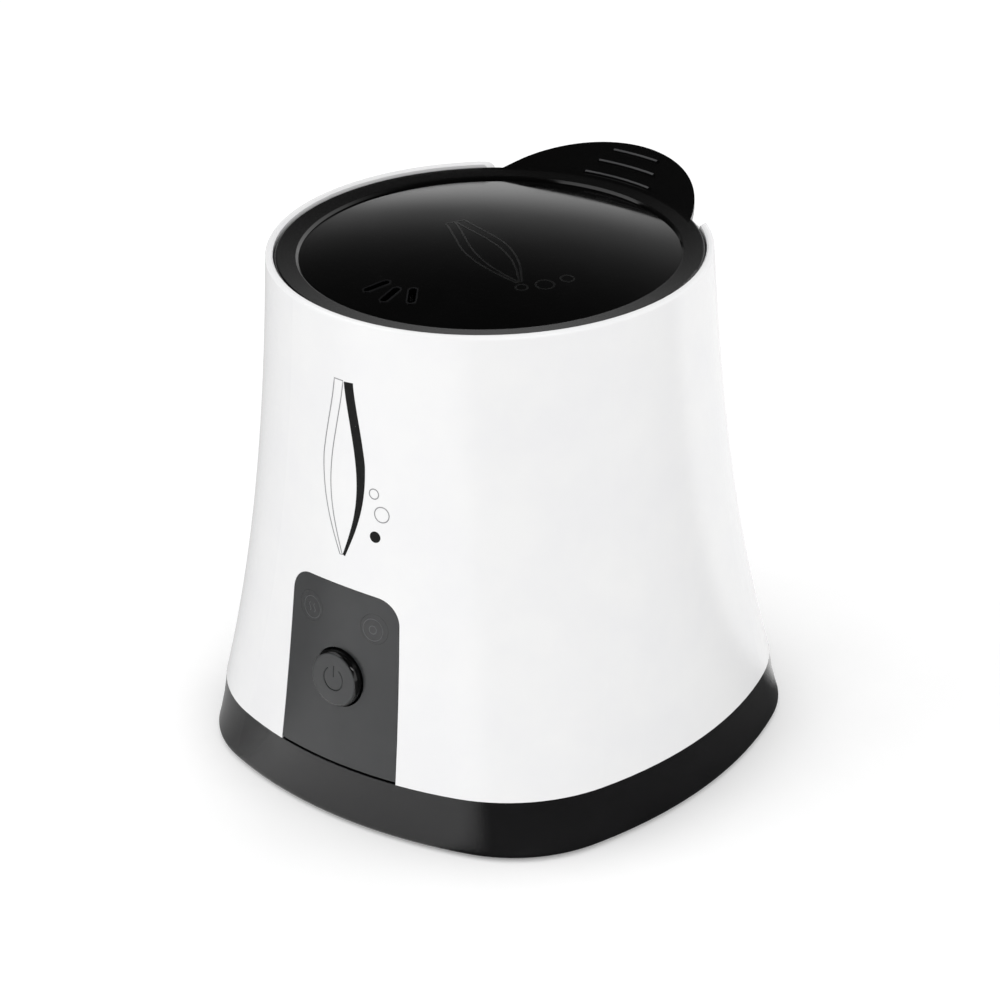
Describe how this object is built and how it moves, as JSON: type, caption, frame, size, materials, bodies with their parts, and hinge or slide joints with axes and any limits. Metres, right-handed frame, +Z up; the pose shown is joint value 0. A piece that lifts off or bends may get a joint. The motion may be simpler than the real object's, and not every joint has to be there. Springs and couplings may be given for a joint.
{
  "type": "glass bead sterilizer",
  "caption": "Bench-top glass bead sterilizer: flared white housing, dark base and control panel with push button, domed black lid with finger lift over a heated bead cup.",
  "frame": {"origin": "on the table, under the middle of the base", "axes": "+Z up; -Y towards the user, out of the control panel; +X to the right seen from the front; the lid's finger lift is on the +Y side"},
  "size_m": [0.1562, 0.1562, 0.1611],
  "materials": {
    "housing_white": "semi-gloss",
    "base_dark": "satin",
    "panel_dark": "satin",
    "button_dark": "semi-gloss",
    "lens_dark": "semi-gloss",
    "foot_rubber": "matte",
    "lid_black": "glossy dome, satin ring",
    "black_plastic": "matte",
    "sheet_steel": "satin",
    "cup_aluminium": "satin",
    "bead_glass": "polished beads",
    "fibre_white": "fibrous",
    "post_steel": "satin",
    "screw_steel": "satin",
    "board_green": "satin",
    "lamp_resin": "clear resin",
    "block_ceramic": "unglazed",
    "contact_brass": "plain",
    "wire_brown": "satin",
    "wire_blue": "satin",
    "wire_green": "satin"
  },
  "bodies": {
    "housing": {"base_tray": "base_dark", "bead_cup": "cup_aluminium", "block_screws": "screw_steel", "board_screw": "screw_steel", "body_shell": "housing_white", "bracket_screws": "screw_steel", "clamp_nut": "screw_steel", "clamp_screw": "screw_steel", "control_panel": "panel_dark", "cup_screws": "screw_steel", "deck_plate": "sheet_steel", "earth_screw": "screw_steel", "earth_tag": "contact_brass", "foot_back_left": "foot_rubber", "foot_back_right": "foot_rubber", "foot_front_left": "foot_rubber", "foot_front_right": "foot_rubber", "glass_beads": "bead_glass", "heat_shield": "sheet_steel", "heater_band": "sheet_steel", "inlet_pins": "contact_brass", "inlet_screws": "screw_steel", "insulation_disc": "fibre_white", "insulation_sleeve": "fibre_white", "lamp_board": "board_green", "lamp_left": "lamp_resin", "lamp_lens_left": "lens_dark", "lamp_lens_right": "lens_dark", "lamp_right": "lamp_resin", "lid": "lid_black", "lid_seat": "black_plastic", "limit_screws": "screw_steel", "limit_switch": "block_ceramic", "mains_inlet": "black_plastic", "post_back_left": "post_steel", "post_back_right": "post_steel", "post_front_left": "post_steel", "post_front_right": "post_steel", "post_screws": "screw_steel", "shield_screws": "screw_steel", "switch_body": "black_plastic", "switch_bracket": "sheet_steel", "terminal_block": "block_ceramic", "tray_screws": "screw_steel", "wire_earth_in": "wire_green", "wire_earth_out": "wire_green", "wire_heater_link": "wire_brown", "wire_heater_return": "wire_blue", "wire_live_in": "wire_brown", "wire_neutral_in": "wire_blue", "wire_switch_feed": "wire_brown", "wire_switch_out": "wire_brown"},
    "button": {"power_button": "button_dark", "switch_plunger": "black_plastic"}
  },
  "joints": [
    {"name": "button_press", "type": "slide", "parent": "housing", "child": "button", "axis": [0, 0.9924, -0.1233], "range_m": [0, 0.0016], "stiffness_N_per_m": 900}
  ]
}
